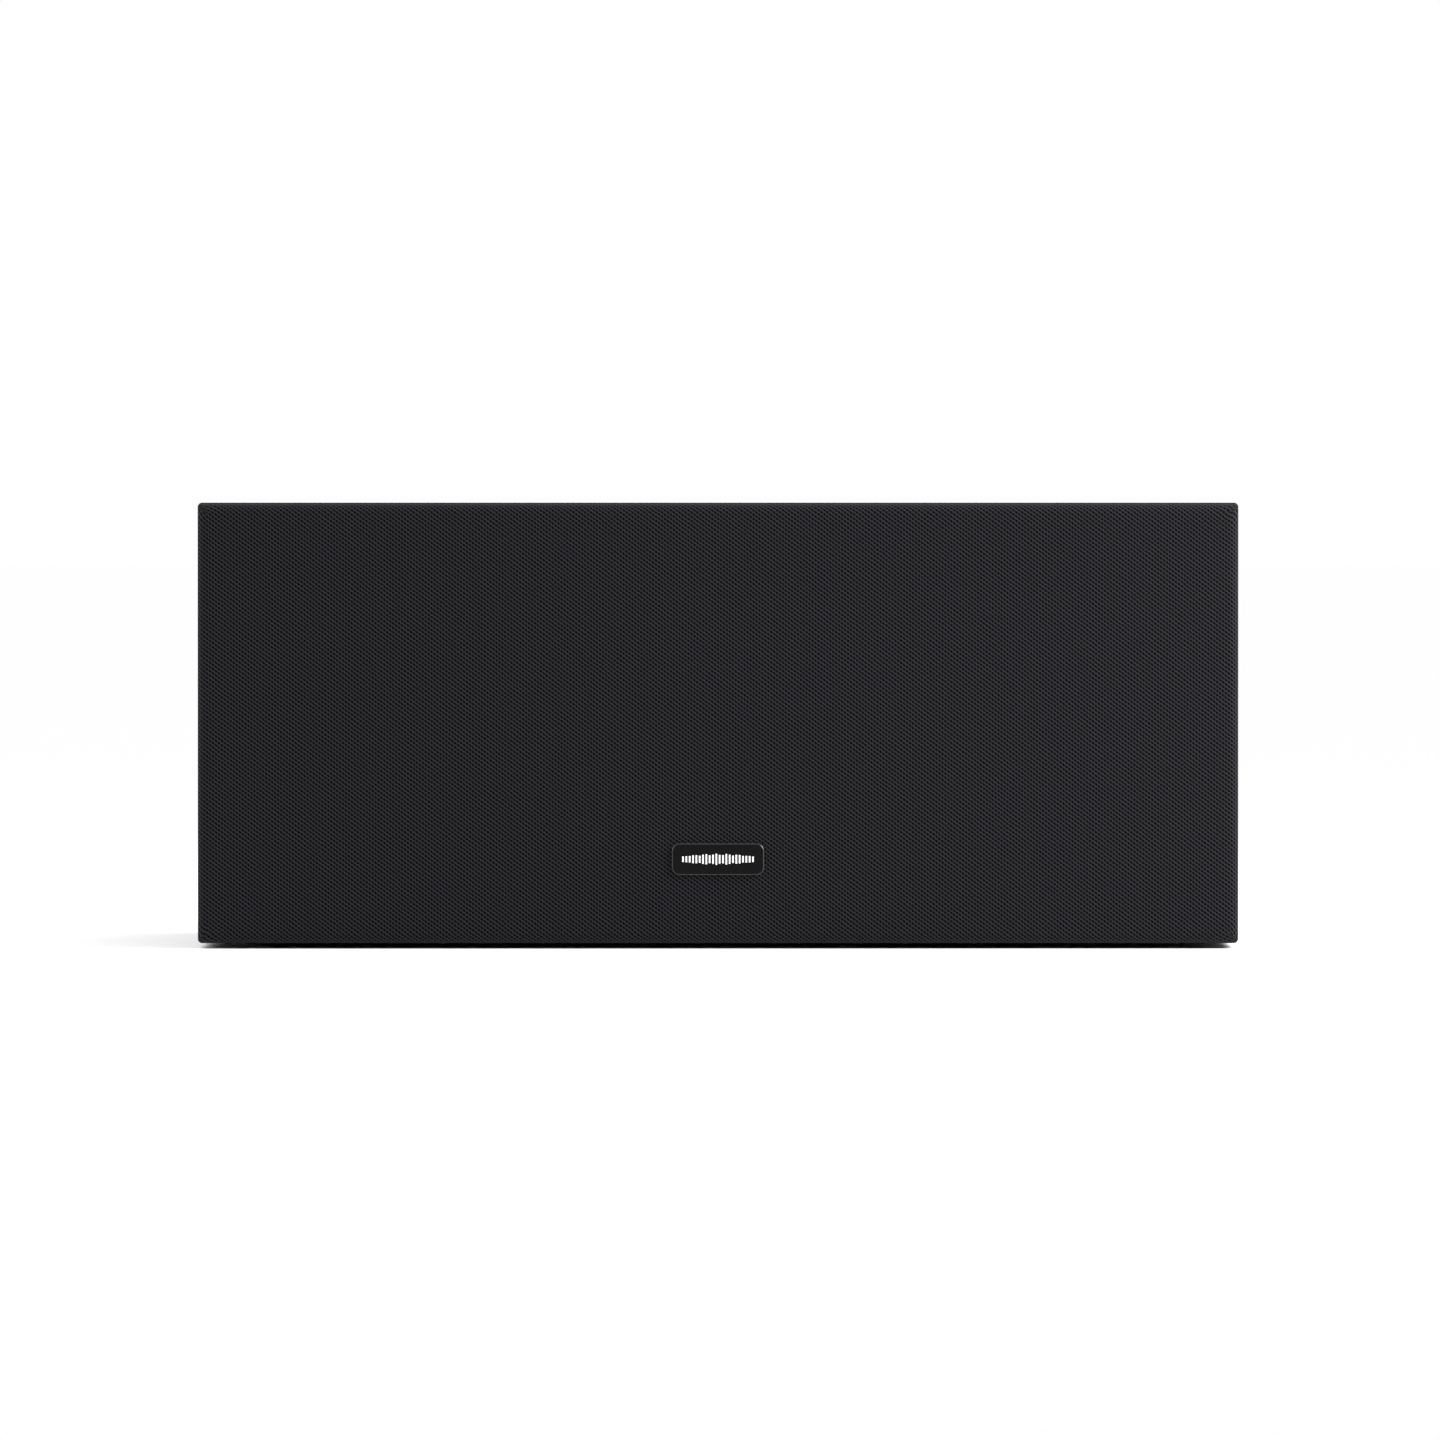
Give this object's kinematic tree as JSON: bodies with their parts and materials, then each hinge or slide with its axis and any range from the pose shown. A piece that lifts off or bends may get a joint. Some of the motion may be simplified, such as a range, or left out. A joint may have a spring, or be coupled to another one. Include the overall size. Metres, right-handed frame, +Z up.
{
  "type": "centre-channel loudspeaker",
  "caption": "Wide, low black loudspeaker with a removable knitted-cloth grille, woofers either side of a dome tweeter, flared rear ports and a recessed pair of binding posts.",
  "frame": {"origin": "middle of the footprint, on the surface that the feet stand on", "axes": "+X to the right seen from in front, the grille faces -Y, +Z up"},
  "size_m": [0.47, 0.248, 0.201],
  "materials": {
    "cabinet_wrap": "matt black vinyl wrap on fibreboard",
    "baffle_paint": "black textured lacquer on fibreboard",
    "bare_board": "sawn fibreboard",
    "wadding": "matt felted polyester",
    "foot_rubber": "matt",
    "socket_rubber": "matt",
    "gasket_foam": "matt foam",
    "port_plastic": "moulded, fine texture",
    "cup_plastic": "moulded, fine texture",
    "terminal_board": "phenolic laminate",
    "driver_screw": "black oxide",
    "cup_screw": "black oxide",
    "plated_steel": "zinc plated",
    "ferrite": "ground ferrite",
    "basket_metal": "satin black powder coat on die casting",
    "cone_film": "satin moulded polypropylene",
    "cap_film": "satin",
    "coil_copper": "enamelled copper wire on an aluminium former",
    "surround_rubber": "matt butyl rubber",
    "spider_cloth": "resin-treated cotton",
    "faceplate_plastic": "moulded, fine texture",
    "dome_fabric": "coated silk",
    "roll_fabric": "coated cloth",
    "post_gold": "gold plated brass",
    "washer_gold": "gold plated brass",
    "knob_black": "gloss moulded",
    "knob_red": "gloss moulded",
    "nut_steel": "zinc plated",
    "circuit_board": "solder-masked laminate",
    "inductor_copper": "enamelled copper wire",
    "capacitor_film": "taped polyester",
    "resistor_cement": "glazed cement",
    "cable_jacket": "satin PVC",
    "frame_plastic": "moulded, matt",
    "peg_plastic": "moulded, satin",
    "grille_fabric": "knitted polyester",
    "badge": "gloss with a bevelled edge"
  },
  "bodies": {
    "cabinet": {"acoustic_wadding": "wadding", "back_panel": "cabinet_wrap", "black_post_stud": "post_gold", "bottom_panel": "cabinet_wrap", "cabinet_braces": "bare_board", "crossover_board": "circuit_board", "crossover_capacitors": "capacitor_film", "crossover_inductors": "inductor_copper", "crossover_resistors": "resistor_cement", "driver_gaskets": "gasket_foam", "driver_terminals": "terminal_board", "front_baffle": "baffle_paint", "grille_sockets": "socket_rubber", "left_panel": "cabinet_wrap", "port_tube_left": "port_plastic", "port_tube_right": "port_plastic", "post_nuts": "nut_steel", "red_post_stud": "post_gold", "right_panel": "cabinet_wrap", "rubber_feet": "foot_rubber", "terminal_cup": "cup_plastic", "terminal_screws": "cup_screw", "top_panel": "cabinet_wrap", "tweeter_faceplate": "faceplate_plastic", "tweeter_magnet": "ferrite", "tweeter_screws": "driver_screw", "tweeter_surround": "roll_fabric", "tweeter_top_plate": "plated_steel", "tweeter_wires": "cable_jacket", "tweeter_yoke": "plated_steel", "woofer_left_basket": "basket_metal", "woofer_left_magnet": "ferrite", "woofer_left_spider": "spider_cloth", "woofer_left_surround": "surround_rubber", "woofer_left_yoke": "plated_steel", "woofer_right_basket": "basket_metal", "woofer_right_magnet": "ferrite", "woofer_right_spider": "spider_cloth", "woofer_right_surround": "surround_rubber", "woofer_right_yoke": "plated_steel", "woofer_screws": "driver_screw", "woofer_top_plates": "plated_steel", "woofer_wires": "cable_jacket"},
    "left_cone": {"woofer_left_cone": "cone_film", "woofer_left_dust_cap": "cap_film", "woofer_left_voice_coil": "coil_copper"},
    "right_cone": {"woofer_right_cone": "cone_film", "woofer_right_dust_cap": "cap_film", "woofer_right_voice_coil": "coil_copper"},
    "tweeter_diaphragm": {"tweeter_dome": "dome_fabric", "tweeter_voice_coil": "coil_copper"},
    "grille": {"grille_frame": "frame_plastic", "grille_cloth": "grille_fabric", "grille_pegs": "peg_plastic", "badge_plate": "badge"},
    "red_clamp": {"red_post_washer": "washer_gold"},
    "red_knob": {"red_post_knob": "knob_red"},
    "black_clamp": {"black_post_washer": "washer_gold"},
    "black_knob": {"black_post_knob": "knob_black"}
  },
  "joints": [
    {"name": "left_cone_travel", "type": "slide", "parent": "cabinet", "child": "left_cone", "axis": [0, -1, 0], "range_m": [-0.005, 0.005], "stiffness_N_per_m": 1000, "deforming": ["woofer_left_surround", "woofer_left_spider"]},
    {"name": "right_cone_travel", "type": "slide", "parent": "cabinet", "child": "right_cone", "axis": [0, -1, 0], "range_m": [-0.005, 0.005], "stiffness_N_per_m": 1000, "deforming": ["woofer_right_surround", "woofer_right_spider"]},
    {"name": "tweeter_travel", "type": "slide", "parent": "cabinet", "child": "tweeter_diaphragm", "axis": [0, -1, 0], "range_m": [-0.0005, 0.0005], "stiffness_N_per_m": 1500, "deforming": ["tweeter_surround"]},
    {"name": "grille_pull", "type": "slide", "parent": "cabinet", "child": "grille", "axis": [0, -1, 0], "range_m": [0, 0.08]},
    {"name": "red_clamp_lift", "type": "slide", "parent": "cabinet", "child": "red_clamp", "axis": [0, 1, 0], "range_m": [0, 0.006]},
    {"name": "red_knob_turn", "type": "hinge", "parent": "red_clamp", "child": "red_knob", "pos_m": [-0.00953, 0.11, 0.1015], "axis": [0, 1, 0], "range_deg": [0, 2165]},
    {"name": "black_clamp_lift", "type": "slide", "parent": "cabinet", "child": "black_clamp", "axis": [0, 1, 0], "range_m": [0, 0.006]},
    {"name": "black_knob_turn", "type": "hinge", "parent": "black_clamp", "child": "black_knob", "pos_m": [0.00953, 0.11, 0.1015], "axis": [0, 1, 0], "range_deg": [0, 2165]}
  ],
  "couplings": [
    {"joint": "red_knob_turn", "follows": "red_clamp_lift", "rad_per_m": 6283.2},
    {"joint": "black_knob_turn", "follows": "black_clamp_lift", "rad_per_m": 6283.2}
  ]
}
